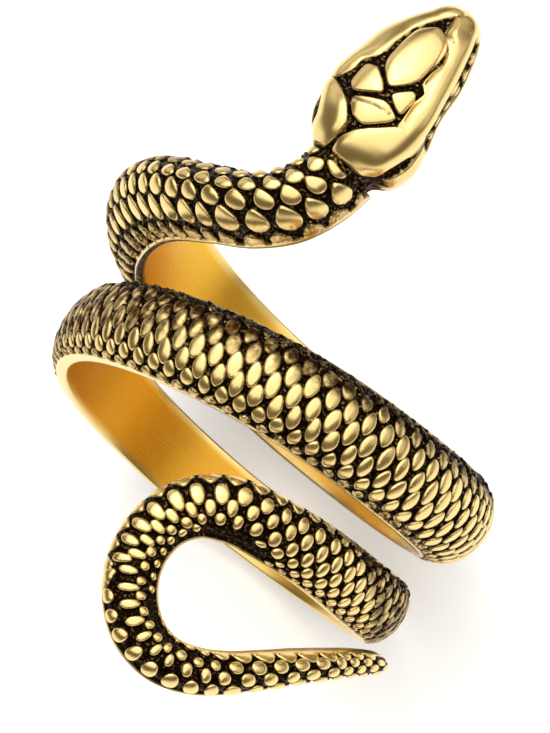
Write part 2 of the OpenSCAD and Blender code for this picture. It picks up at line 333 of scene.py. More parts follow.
def scatter(a, b, seed):
    """A number from 0 to 1 that looks random, and is always the same for whole numbers a and b."""
    x = np.sin(a * 12.9898 + b * 78.233 + seed * 37.719) * 43758.5453
    return x - np.floor(x)


def rough_field(p, cell, seed):
    """Smooth noise from -1 to 1 with lumps of size cell: random values at the corners of a
    cubic lattice, blended by S curves between them."""
    q = p / cell
    low = np.floor(q)
    t = smooth_step(0, 1, q - low)
    total = np.zeros(p.shape[:-1])
    for corner in range(8):
        d = np.array([corner & 1, corner >> 1 & 1, corner >> 2 & 1])
        weight = np.prod(np.where(d == 1, t, 1 - t), axis=-1)
        at = low + d
        total += weight * scatter(at[..., 0] + 57 * at[..., 1], at[..., 2], seed)
    return 2 * total - 1


# How many scales lie before a length along the body, in the rows that share the crest's count
SCALES_SO_FAR = np.array([
    (0, -4.6), (1.7, -3), (4.22, 0), (10.1, 5), (12.7, 8), (17.2, 14), (19.6, 17), (24.9, 23),
    (81, 87), (116, 126.5), (134.9, 146), (139.1, 150), (140.7, 151.4),
])

# Rows of scales, from the outer rim of the curl to the inner one: how far the row is shifted, in
# scales, how pointed it is against the rest, and its changes. Each of these is a length along the
# body, then there: the row's place as a share of the way over from the right rim, half width of
# a scale across in mm, and half length as a share of the space that it has along the row.
SCALE_ROWS = {
    "left_rim": (0.5, 1, [
        (0, 1, 0, 0.28), (26, 1, 0, 0.28), (31, 0.93, 0.25, 0.3), (80, 1, 0.4, 0.32),
        (134, 1.05, 0.4, 0.33)]),
    "outer_teeth": (0, 0.8, [
        (15.8, 1, 0, 0.4), (16.6, 1, 1, 0.46), (25, 1, 1, 0.46), (29, 0.98, 0.55, 0.42),
        (32, 0.97, 0, 0.3)]),
    "left_edge": (0, 1, [
        (0, 0.9, 0.18, 0.3), (2, 0.95, 0.34, 0.33), (7, 0.98, 0.4, 0.34), (9, 0.98, 0, 0.3),
        (15, 0.96, 0, 0.3), (26.5, 0.86, 0, 0.3), (28, 0.83, 0.26, 0.3), (31, 0.8, 0.34, 0.3),
        (80, 0.87, 0.52, 0.36), (134, 0.97, 0.5, 0.35)]),
    "left": (0.5, 1, [
        (0, 0.66, 0.17, 0.3), (5, 0.72, 0.3, 0.31), (8, 0.78, 0.42, 0.32), (10.7, 0.76, 0.54, 0.34),
        (14, 0.76, 0.56, 0.35), (15.2, 0.8, 0.5, 0.38), (16.8, 0.82, 0.46, 0.38),
        (17.6, 0.63, 0.44, 0.3), (21, 0.61, 0.56, 0.33), (25, 0.7, 0.42, 0.32),
        (31, 0.67, 0.42, 0.31), (80, 0.74, 0.56, 0.36), (100, 0.76, 0.56, 0.33),
        (122, 0.82, 0.58, 0.31), (134, 0.86, 0.58, 0.35)]),
    "upper": (0, 1, [
        (0, 0.44, 0.18, 0.32), (4.4, 0.5, 0.31, 0.31), (7.5, 0.54, 0.37, 0.31),
        (10, 0.49, 0.37, 0.29), (13.5, 0.47, 0.36, 0.27), (15, 0.49, 0.47, 0.3),
        (17.2, 0.52, 0.46, 0.3), (18.6, 0.45, 0.36, 0.29), (21.6, 0.47, 0.36, 0.29),
        (25, 0.56, 0.38, 0.3), (31, 0.53, 0.42, 0.31), (80, 0.61, 0.6, 0.36),
        (100, 0.62, 0.6, 0.33), (122, 0.65, 0.58, 0.32), (134, 0.7, 0.58, 0.35)]),
    "middle": (0.5, 1, [
        (0, 0.27, 0.15, 0.32), (5, 0.27, 0.38, 0.33), (8, 0.31, 0.4, 0.33),
        (10.5, 0.31, 0.29, 0.31), (16.5, 0.36, 0.24, 0.34), (19.5, 0.34, 0.23, 0.34),
        (21, 0.33, 0.27, 0.34), (24.5, 0.42, 0.34, 0.32), (31, 0.41, 0.42, 0.31),
        (80, 0.48, 0.61, 0.36), (100, 0.49, 0.62, 0.33), (122, 0.51, 0.6, 0.32),
        (134, 0.535, 0.58, 0.36)]),
    "lower": (0, 1, [
        (0, 0.08, 0.08, 0.3), (1.5, 0.1, 0, 0.3), (15.6, 0.18, 0, 0.36), (16.4, 0.19, 0.18, 0.36),
        (18, 0.2, 0.21, 0.36), (21.3, 0.25, 0.22, 0.36), (22.6, 0.27, 0, 0.36), (24, 0.29, 0, 0.3),
        (25.5, 0.3, 0.28, 0.33), (31, 0.29, 0.38, 0.31), (80, 0.35, 0.61, 0.36),
        (100, 0.355, 0.64, 0.33), (122, 0.37, 0.64, 0.33), (134, 0.39, 0.7, 0.36)]),
    "right": (0.5, 1, [
        (0, 0, 0, 0.3), (25, 0.18, 0, 0.3), (27, 0.19, 0.26, 0.32), (31, 0.17, 0.34, 0.31),
        (80, 0.22, 0.52, 0.36), (100, 0.22, 0.62, 0.33), (122, 0.23, 0.64, 0.33),
        (134, 0.225, 0.76, 0.37), (141, 0.21, 0.76, 0.38)]),
    "right_edge": (0, 1, [
        (0, 0, 0, 0.3), (24, 0.08, 0, 0.3), (26, 0.08, 0.16, 0.31), (31, 0.06, 0.26, 0.32),
        (57, 0.075, 0.44, 0.34), (73, 0.08, 0.44, 0.36), (80, 0.09, 0.36, 0.34),
        (104, 0.09, 0.52, 0.34), (126, 0.08, 0.56, 0.34), (134, 0.05, 0.5, 0.36),
        (141, 0.04, 0.5, 0.36)]),
    "inner_teeth": (0, 0.9, [
        (0.8, 0, 0, 0.4), (1.6, 0, 0.4, 0.42), (5, 0, 0.66, 0.46), (9, 0, 0.7, 0.46),
        (12, 0, 0.4, 0.36), (15, 0, 0.2, 0.3), (16, 0, 0, 0.3)]),
}
# Along the body: how pointed the scales are (2 is an oval), how much wider their right end is
# than their left, the width of the smooth right rim in mm, and how rough the left rows are
SHAPE_CHANGES = np.array([
    (0, 2.1, 0, 0.05, 0), (14, 2.1, 0, 0.06, 0), (25, 2, 0, 0.08, 0.2), (30, 1.85, 0.05, 0.1, 0.5),
    (34, 1.8, 0.05, 0.12, 1), (50, 1.75, 0.05, 0.2, 1), (58, 1.7, 0, 0.28, 1),
    (74, 1.7, 0, 0.28, 1), (79, 1.65, 0.05, 0.12, 1), (104, 1.7, 0.05, 0.04, 1),
    (124, 1.8, 0.15, 0.05, 1), (134, 1.85, 0.32, 0.08, 1), (141, 1.85, 0.36, 0.05, 1),
])
# How much shorter the scales are at lengths along the body: the left turns have wider grooves
SHORTER = [
    (54, 0), (60, 0.17), (71, 0.17), (78, 0), (102, 0), (108, 0.15), (126, 0.17), (133, 0),
]
# How far the right wall is darkened towards the brown and the oxide, at lengths along the body
WALL_DARKENING = [
    (0, 0.45), (12, 0.45), (15, 0), (76, 0), (80, 0.9), (92, 0.9), (96, 0.25), (112, 0.25),
    (117, 0.9), (131, 1), (135, 0.5), (141, 0.3),
]
# The share of the way over from which the scales are painted brown, at lengths along the body.
# The brown is stain on the crumpled metal and painted shade where the band turns away from the light.
STAIN_AND_SHADE_START = [
    (0, 1.2), (22, 1), (28, 0.85), (30.5, 0.5), (33, 0.15), (35, 0), (58, 0.02), (68, 0.06),
    (78, 0.42), (86, 0.58), (97, 0.64), (104, 0.2), (118, 0), (126, 0.12), (131, 0.5), (141, 0.66),
]


def along_body(s, table, column):
    """A column of a table read at lengths s, by straight lines between its rows."""
    table = np.asarray(table, float)
    return np.interp(s, table[:, 0], table[:, column])


def one_scale(x, y, a, b, shape, edge):
    """Wall and height of a scale at x along and y across from its middle: the wall is a soft step
    at d = 1 and the top is 1 - 0.24 d^2.5, with d = (|x/a|^n + |y/b|^n)^(1/n)."""
    d = (np.abs(x / a) ** shape + np.abs(y / b) ** shape) ** (1 / shape)
    wall = smooth_step(0, 1, 0.5 + (1.0 - d) * np.minimum(a, b) / edge)
    return wall, wall * (1 - 0.24 * np.minimum(d, 1) ** 2.5)


def row_of_scales(s, share, width, stretch, offset, point, stations, seed, settings):
    """Wall and height of one row over the grid. The row's scales stand at whole numbers of the
    count less its offset, and x and y are lengths on the surface from the nearest one. Each is
    turned and sized a little differently and has a flat facet towards the head, and some lie on a
    low ledge. The teeth of the rims, whose point is below 1, are all alike."""
    count = along_body(s, SCALES_SO_FAR, 1)[:, None]
    pitch = (np.gradient(s) / np.gradient(count[:, 0]))[:, None]
    place, half_across, half_along = (along_body(s, stations, k)[:, None] for k in (1, 2, 3))
    shape, taper = (along_body(s, SHAPE_CHANGES, k)[:, None] for k in (1, 2))
    shape = point * shape
    edge = settings.edge / MM
    number = np.round(count - offset)
    jitter = [(scatter(number, seed * 7, seed + k) - 0.5) * (point >= 1) for k in range(7)]
    space = pitch * stretch
    filled = half_along * (1 - along_body(s, SHORTER, 1)[:, None])
    x = (count - offset - number - 0.06 * jitter[0]) * space
    y = (share - place) * width - 0.06 * jitter[1]
    turn = settings.lean + np.radians(14 * jitter[2])
    x, y = x * np.cos(turn) + y * np.sin(turn), y * np.cos(turn) - x * np.sin(turn)
    b = np.maximum(half_across, 0.02) * (1 + 0.14 * jitter[4])
    a = filled * space * (1 + 0.14 * jitter[3]) * (1 - taper * np.clip(y / b, -1, 1))
    wall, dome = one_scale(x, y, a, b, shape, edge)
    cut = np.maximum(0.8 * x / a - 0.6 * y / b - 0.1, 0)
    facet = (point >= 1) * settings.facet * (0.6 + 0.8 * jitter[6]) * cut
    low_wall, low_dome = one_scale(x - 0.09, y + 0.04, a, b, shape, edge * 0.6)
    ledge = (point >= 1) * np.clip(0.5 + 2 * jitter[5], 0, 1)
    top = np.maximum((1 + 0.10 * jitter[5]) * dome - facet * wall, 0.45 * ledge * low_dome)
    there = smooth_step(0.04, 0.14, half_across)
    return there * np.maximum(wall, 0.5 * ledge * low_wall), there * top


def body_relief(s, share, width, stretch, settings):
    """Wall (0 in a groove, 1 on a scale) and height (0 to 1) of all rows over the body's grid."""
    wall = np.zeros((len(s), share.size))
    height = np.zeros_like(wall)
    for seed, (offset, point, stations) in enumerate(SCALE_ROWS.values()):
        w, h = row_of_scales(s, share, width, stretch, offset, point, stations, seed, settings)
        wall, height = np.maximum(wall, w), np.maximum(height, h)
    return wall, height


def dome_finish(s, share, width, half, plain, settings):
    """How far the dome is sunk in mm, and its recess and its brown, which is stain with painted
    shade, from 0 to 1. A point is sunk by relief x (1 - height of its scale), less noise on the
    crumpled and rough rows, plus a bell curve of its height over the floor, where the ring is
    worn. Both rims stay smooth."""
    stretch = np.clip(np.linalg.norm(np.gradient(plain, axis=0), axis=-1) / GRID_STEP, 0.3, 3)
    wall, height = body_relief(s, share, width, stretch, settings)
    rim_width, rough_rows = (along_body(s, SHAPE_CHANGES, k)[:, None] for k in (3, 4))
    from_right = share * width
    toothed = window(s, TEETH_START, TEETH_END)[:, None]
    scaled = smooth_step(*RIGHT_RIM_FADE, from_right - rim_width)
    scaled = scaled * np.maximum(smooth_step(*LEFT_RIM_FADE, width - from_right), toothed)

    in_head = smooth_step(*INTO_HEAD, s)[:, None]
    upper = np.maximum(smooth_step(*CRUMPLED_START, share) * rough_rows, in_head)
    lower = (1 - smooth_step(*ROUGH_END, share)) * rough_rows
    lumps = rough_field(plain, BODY_LUMP, 3)
    grain = rough_field(plain, BODY_GRAIN, 5)
    wall = wall * (1 - in_head) * (1 - 0.35 * upper)
    height = height * (1 - 0.15 * upper) * (1 - in_head)
    crumple = upper * (0.12 * lumps + 0.08 * grain)
    crumple = crumple + 0.05 * lower * grain + 0.014 * grain * (1 - wall)
    narrow = np.clip(half / FULL_RELIEF_HALF, 0.25, 1)
    depth = settings.relief / MM * narrow * (1 - height) * scaled - crumple * scaled
    over_floor = laid_down(plain)[..., 2] / MM
    depth = np.maximum(depth, -MOST_PROUD) + WEAR_DEPTH * bell(over_floor, WEAR_HEIGHT)

    pitted = np.maximum(1 - wall, upper * (0.30 - 0.75 * grain)) * (1 - in_head)
    pitted = pitted + in_head * (0.42 - 0.75 * grain - 0.3 * lumps)
    # Brown: stain on the crumpled and rough rows, and painted shade from the start share on towards
    # the left rim
    start = along_body(s, STAIN_AND_SHADE_START, 1)[:, None]
    stained_and_shaded = np.maximum(upper, smooth_step(start, start + STAIN_AND_SHADE_FADE, share))
    stained_and_shaded = np.clip(stained_and_shaded + 0.6 * lower, 0, 1)
    return depth, pitted * scaled, stained_and_shaded * scaled


def body_surface(settings):
    """The whole body as a closed grid: along it by across it. Its section is the smooth wall, an
    elliptic dome v = w cos a, h = rim + (crest - rim) sin a, the other wall and the hole's face.
    The dome is sunk along its normal, (rise cos a, w sin a), by the depth of its finish."""
    s, row, side = carried(BODY_ROWS, int(running_length(BODY_ROWS)[-1] / GRID_STEP))
    w, rim, crest = row[..., HALF_WIDTH], row[..., RIM], row[..., CREST]
    inner = np.maximum(row[..., INNER], 0)
    rise = crest - rim
    width = np.pi * np.sqrt((w**2 + rise**2) / 2)
    share = np.linspace(0, 1, DOME_FACES + 1)[None, :]
    a = np.pi * share
    dome_v, dome_h = w * np.cos(a), rim + rise * np.sin(a)
    plain = on_ring(row, side, dome_v, dome_h)
    depth, dome_recess, dome_tarnish_and_shade = dome_finish(s, share, width, w, plain, settings)
    normal_v, normal_h = np.cos(a) * rise, np.sin(a) * w
    normal_length = np.sqrt(normal_v**2 + normal_h**2)
    dome_v = dome_v - depth * normal_v / normal_length
    dome_h = dome_h - depth * normal_h / normal_length

    lip = settings.lip / MM
    climb = np.linspace(0, 1, WALL_FACES + 1)[None, :-1] * 0.97
    wall_v = w - lip * np.clip(1 - climb * (rim - inner) / lip, 0, 1)
    wall_h = inner + np.maximum(climb * (rim - inner), lip * 0.25)
    back = np.linspace(-1, 1, HOLE_FACES + 1)[None, 1:-1]
    walls, face = np.zeros_like(wall_h), np.zeros((len(s), back.size))
    v = np.concatenate([wall_v, dome_v, -wall_v[:, ::-1], (w - 1.6 * lip) * back], 1)
    h = np.concatenate([wall_h, dome_h, wall_h[:, ::-1], inner + face], 1)
    closing = rounded_end(s, settings.tip_length / MM)
    middle = (inner + crest) / 2
    v, h = v * closing, middle + (h - middle) * closing

    wall_darkening = along_body(s, WALL_DARKENING, 1)[:, None] + walls
    toothed = window(s, TEETH_START, TEETH_END)[:, None] + walls
    marks = {
        "recess": np.concatenate([0.5 * wall_darkening, dome_recess, 0.9 * toothed, face], 1),
        "tarnish_and_shade": np.concatenate([wall_darkening, dome_tarnish_and_shade, walls, face], 1),
        "hole": np.concatenate([walls, np.zeros_like(depth), walls, face + 1], 1),
        "strip": np.stack([np.broadcast_to(s[:, None], v.shape), v, h], -1),
    }
    return s, on_ring(row, side, v, h), marks


def head_outline(row, f):
    """Half width across and height of a head section at share f of the way round: the jaw's
    curve, a straight climb to the ridge, and a crown that rises as a quarter sine."""
    jaw, ridge, ridge_height, crown, chin = (row[..., i] for i in range(JAW_HALF, CHIN_HEIGHT + 1))
    chin = np.maximum(chin, 0)
    g = np.minimum(f, 1 - f)
    wide, lift = (np.interp(g, JAW_SHARE[:, 0], JAW_SHARE[:, k]) for k in (1, 2))
    jaw_end = JAW_SHARE[-1, 0]
    climb = np.clip((g - jaw_end) / (RIDGE_START - jaw_end), 0, 1)
    over = np.clip((g - RIDGE_START) / (RIDGE_END - RIDGE_START), 0, 1)
    top = np.clip((g - RIDGE_END) / (0.5 - RIDGE_END), 0, 1)
    top_v = ridge * (1 - RIDGE_INSET * over) * (1 - top)
    ridge_h = ridge_height * (RIDGE_FOOT + RIDGE_SWELL * over)
    top_h = ridge_h + (crown - ridge_h) * np.sin(np.pi / 2 * top)
    v = jaw * wide * (1 - climb) + top_v * climb
    h = (chin + (ridge_height - chin) * lift) * (1 - climb) + top_h * climb
    return np.where(f <= 0.5, v, -v), h


def blurred(a, steps):
    """Each row of a, averaged along its second axis under a bell curve of that many steps."""
    reach = 2 * steps
    weights = np.exp(-0.5 * (np.arange(-reach, reach + 1) / (0.8 * steps)) ** 2)
    weights /= weights.sum()
    padded = np.pad(a, ((0, 0), (reach, reach)), mode="edge")
    return sum(weight * padded[:, i:i + a.shape[1]] for i, weight in enumerate(weights))


def line_distance(p, line):
    """Distance from each point to the nearest part of a line through the given points."""
    q = np.array(line)
    nearest = np.full(p.shape[:-1], np.inf)
    for a, b in zip(q[:-1], q[1:]):
        along = b - a
        t = np.clip(((p - a) @ along) / (along @ along), 0, 1)
        nearest = np.minimum(nearest, np.linalg.norm(p - a - t[..., None] * along, axis=-1))
    return nearest


def rounded(outline):
    """The outline with each corner cut twice, at 0.14 and then 0.25 of the way along its sides."""
    q = np.array(outline)
    for cut in (0.14, 0.25):
        after = np.roll(q, -1, axis=0)
        q = np.stack([(1 - cut) * q + cut * after, cut * q + (1 - cut) * after], 1).reshape(-1, 2)
    return q


def inside_distance(p, outline):
    """Distance from each point to a closed outline, positive inside it, where a line to the
    point's right crosses the outline an odd number of times."""
    q = np.vstack([outline, outline[:1]])
    crossings = np.zeros(p.shape[:-1], int)
    for a, b in zip(q[:-1], q[1:]):
        if b[1] != a[1]:
            reach = a[0] + (p[..., 1] - a[1]) * (b[0] - a[0]) / (b[1] - a[1])
            crossings += ((a[1] > p[..., 1]) != (b[1] > p[..., 1])) & (p[..., 0] < reach)
    return np.where(crossings % 2 == 1, 1, -1) * line_distance(p, q)


def surface_normals(points):
    """Outward unit normals of a grid that is closed round its second axis."""
    along = np.gradient(points, axis=0)
    padded = np.concatenate([points[:, -1:], points, points[:, :1]], 1)
    around = (padded[:, 2:] - padded[:, :-2]) / 2
    normal = np.cross(along, around)
    length = np.linalg.norm(normal, axis=-1, keepdims=True)
    return normal / np.maximum(length, 1e-12)


def head_form(row, f):
    """The head's plain section: its outline, narrowed by bell curves along the head at the right
    jaw and the left of the snout, with its corners blurred."""
    up = row[..., RISE]
    v, h = head_outline(row, f)
    round_it, middle, reach, share = RIGHT_JAW
    narrowed = v * (1 - share * (1 - smooth_step(*round_it, f)) * bell(up - middle, reach))
    v, h = blurred(narrowed, SECTION_BLUR), blurred(h, SECTION_BLUR)
    round_it, middle, reach, amount = LEFT_SNOUT
    return v - amount * smooth_step(*round_it, f) * bell(up - middle, reach), h


def plate_relief(front, settings):
    """How far each point is raised (0 in a channel, 1 on a plate), and how far the plates' edges
    round down there in mm: e (1 - d / 2.8 e)^2 at d inside the outline of a plate of edge e."""
    raised = np.zeros(front.shape[:2])
    rounding = np.zeros(front.shape[:2])
    half_edge = 0.5 * settings.plate_edge / MM
    for edge, outline in HEAD_PLATES.values():
        d = inside_distance(front, rounded(outline)) + settings.plate_spread / MM
        rise = smooth_step(-half_edge, half_edge, d + 0.02)
        fall = edge * (1 - np.clip((d + 0.05) / (2.8 * edge), 0, 1)) ** 2
        rounding = np.where(rise > raised, fall, rounding)
        raised = np.maximum(raised, rise)
    return raised, blurred(blurred(rounding, 4).T, 5).T


def flank_relief(up, g, share):
    """What is raised below the ridge, from 0 to 1: the jaw lobe, the strip's small scales, the
    underside, the left flank and the snout. Then the eye, and the groove of the mouth."""
    jaw = window(up, JAW_START, JAW_END) * (1 - smooth_step(*JAW_TOP, g))
    first, place, round_mm, half_length, half_width = SPOT
    count = (up - first) / SPOT_STEP
    spots, _ = one_scale((count - np.round(count)) * SPOT_STEP, (g - place) * round_mm,
                         half_length, half_width, 2.0, 0.10)
    spots = spots * window(up, SPOTS_START, SPOTS_END)
    under = (1 - smooth_step(*UNDER_TOP, g)) * smooth_step(*UNDER_START, up)
    left_flank = smooth_step(*FLANK_SIDE, share) * smooth_step(*FLANK_START, up)
    snout = smooth_step(*SNOUT_START, up)
    middle, place, round_mm, half_length, half_width = EYE
    eye, _ = one_scale(up - middle, (g - place) * round_mm, half_length, half_width, 2.0, 0.10)
    mouth = (1 - smooth_step(*MOUTH_EDGE, np.abs(g - MOUTH_PLACE))) * smooth_step(*MOUTH_START, up)
    mouth = mouth * (1 - left_flank) * (1 - snout)
    return reduce(np.maximum, [jaw, spots, under, left_flank, snout]), eye, mouth


def head_surface(settings):
    """The head as a closed grid, from inside the neck to the nose: its plain form, sunk along its
    normals in the dark channels between the plates, at the mouth and in the strip below it."""
    s, row, side = carried(HEAD_ROWS, HEAD_LENGTH_FACES)
    up = row[..., RISE]
    f = np.linspace(0, 1, HEAD_ROUND_FACES + 1)[None, :]
    v, h = head_form(row, f)
    chin = np.maximum(row[..., CHIN_HEIGHT], 0)
    back = np.linspace(-1, 1, HOLE_FACES + 1)[None, 1:-1]
    v = np.concatenate([v, v[:, :1] * 0.97 * back], 1)
    h = np.concatenate([h, np.repeat(chin, back.size, axis=1)], 1)
    nose = rounded_end(s[-1] - s, settings.nose_length / MM)
    middle = (chin + row[..., CROWN_HEIGHT]) / 2
    v, h = v * nose, middle + (h - middle) * nose
    base = on_ring(row, side, v, h)

    # Shares of the way round: -1 on the hole's face, and g the same on both sides
    share = np.concatenate([f, np.full_like(back, -1)], 1)
    g = np.minimum(share, 1 - share)
    outside = np.where(share < 0, 0.0, 1.0)
    on_top = smooth_step(*TOP_START, g) * outside
    front = base[..., [0, 2]]
    raised, rounding = plate_relief(front, settings)
    slope = smooth_step(-0.04, 0.04, inside_distance(front, HEAD_SLOPE)) * on_top
    rounding = rounding + BEVEL * np.minimum(line_distance(front, HEAD_EDGE), BEVEL_REACH) * slope
    crease = reduce(np.maximum, [bell(line_distance(front, line), CREASE_WIDTH)
                                 for line in HEAD_CREASES])
    low_raised, eye, mouth = flank_relief(up, g, share)
    bright = np.maximum(low_raised, eye)
    lobe_edge = RIDGE_START - LOBE_DROP * (1 - smooth_step(*MOUTH_START, up)) * (share < 0.5)
    raised = np.where(g > lobe_edge, raised, bright) * smooth_step(*NECK_EDGE, up)
    raised = np.where(outside > 0, raised, 1)
    rounding = np.where(g > lobe_edge, rounding, 0.05)

    grain = rough_field(base, HEAD_GRAIN, 9)
    lumps = rough_field(base, HEAD_LUMP, 10)
    depth = settings.plate_depth / MM * (1 - raised) + rounding * raised
    depth = depth + CREASE_DEPTH * crease * raised + MOUTH_DEPTH * mouth * (1 - eye)
    depth = depth + (0.03 * grain + 0.05 * lumps) * (1 - raised)
    points = base - surface_normals(base) * (depth * nose * outside)[..., None]

    # The oxide is patchy on the bare neck and flanks, and denser in the channels of the top
    bare = (g < lobe_edge - 0.007) | (up < ROUGH_NECK)
    patchy = np.clip(np.where(bare, 0.5, 0.85) - 0.6 * grain - 0.2 * lumps, 0, 1)
    # Painted shade: the head's right flank below the ridge, except its raised spots and eye, is
    # browned where it turns from the light
    painted_flank_shade = 0.9 * (1 - on_top) * (1 - 0.85 * bright) * (share < 0.5)
    marks = {
        "recess": np.maximum(1 - raised, 0.35 * crease) * patchy * outside,
        "tarnish_and_shade": (painted_flank_shade + 0.8 * (1 - raised)) * outside,
        "hole": (1 - smooth_step(*HOLE_END, up)) * (1 - outside),
        "strip": np.stack([np.broadcast_to(s[:, None], v.shape), v, h], -1),
    }
    return s, points, marks


def set_out(name, data, place, turn):
    """An object in the scene at place, in millimetres, with the given turn."""
    thing = bpy.data.objects.new(name, data)
    bpy.context.scene.collection.objects.link(thing)
    matrix = np.eye(4)
    matrix[:3, :3] = turn
    matrix[:3, 3] = np.array(place) * MM
    thing.matrix_world = Matrix(matrix.tolist())
    return thing


def grid_object(name, points, normals, marks, material):
    """A closed tube of four-sided faces from a grid of points, with a cap at each end, smooth
    normals, the marks as attributes, and a UV map with the grid's own two directions."""
    n, m = points.shape[:2]
    k = np.arange(n * m).reshape(n, m)
    after = np.roll(k, -1, axis=1)
    quads = np.stack([k[:-1], k[1:], after[1:], after[:-1]], -1).reshape(-1)
    corners = np.concatenate([quads, k[0], k[-1, ::-1]])
    starts = np.concatenate([np.arange(0, len(quads), 4), [len(quads), len(quads) + m]])

    mesh = bpy.data.meshes.new(name)
    mesh.vertices.add(n * m)
    mesh.vertices.foreach_set("co", laid_down(points).astype(np.float32).ravel())
    mesh.loops.add(len(corners))
    mesh.loops.foreach_set("vertex_index", corners.astype(np.int32))
    mesh.polygons.add(len(starts))
    mesh.polygons.foreach_set("loop_start", starts.astype(np.int32))
    mesh.update(calc_edges=True)
    mesh.polygons.foreach_set("use_smooth", np.ones(len(starts), bool))

    along = np.linspace(0.01, 0.99, n)[:, None].repeat(m, 1)
    u = np.arange(m + 1) / m
    quad_u = np.stack([u[:-1], u[:-1], u[1:], u[1:]], -1)[None].repeat(n - 1, 0)
    quad_v = np.stack([along[:-1], along[1:], along[1:], along[:-1]], -1)
    cap_turn = 2 * np.pi * np.arange(m) / m
    cap = np.stack([0.5 + 0.4 * np.cos(cap_turn), 0.005 + 0.004 * np.sin(cap_turn)], -1)
    far_cap = cap + [0, 0.99]
    uv = np.concatenate([np.stack([quad_u, quad_v], -1).reshape(-1, 2), cap, far_cap[::-1]])
    layer = mesh.uv_layers.new(name="OFBake")
    layer.uv.foreach_set("vector", uv.astype(np.float32).ravel())

    for mark, values in marks.items():
        kind = "FLOAT_VECTOR" if values.ndim == 3 else "FLOAT"
        field = "vector" if values.ndim == 3 else "value"
        attribute = mesh.attributes.new(mark, kind, "POINT")
        attribute.data.foreach_set(field, values.astype(np.float32).ravel())
    mesh.materials.append(material)
    mesh.normals_split_custom_set_from_vertices(normals.reshape(-1, 3))
    mesh.validate()

    piece = set_out(name, mesh, (0, 0, 0), np.eye(3))
    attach(piece, "root")
    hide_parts("snake_coil")
    return piece


def turned_normals(points):
    """Outward normals of a grid in the ring's frame, turned to the way the ring lies."""
    origin = laid_down(np.zeros(3))
    return (laid_down(surface_normals(points)) - origin) / MM


def add_node(tree, kind, inputs=(), out=0, **settings):
    """Adds a shader node with its settings, and its inputs set to values or joined to outputs.
    Gives its output with the name or number out."""
    node = tree.nodes.new("ShaderNode" + kind)
    for name, value in settings.items():
        setattr(node, name, value)
    for name, value in dict(inputs).items():
        if isinstance(value, bpy.types.NodeSocket):
            tree.links.new(value, node.inputs[name])
        else:
            node.inputs[name].default_value = value
    return node.outputs[out] if node.outputs else None


def new_material(name):
    """A material without nodes yet, and its node tree."""
    material = bpy.data.materials.new(name)
    material.use_nodes = True
    material.node_tree.nodes.clear()
    return material, material.node_tree


# The metal's finish: sizes in mm, stretch of the brush lines, and roughness of the parts
FLECK_SIZE = 0.15
STAIN_AND_SHADE_PATCH = 0.5
BUMP_HEIGHT = 0.03
BRUSH_STRETCH = (0.33, 20.0, 1.0)
POLISHED_ROUGHNESS, OXIDE_ROUGHNESS, BRUSHED_ROUGHNESS = 0.27, 0.50, 0.07


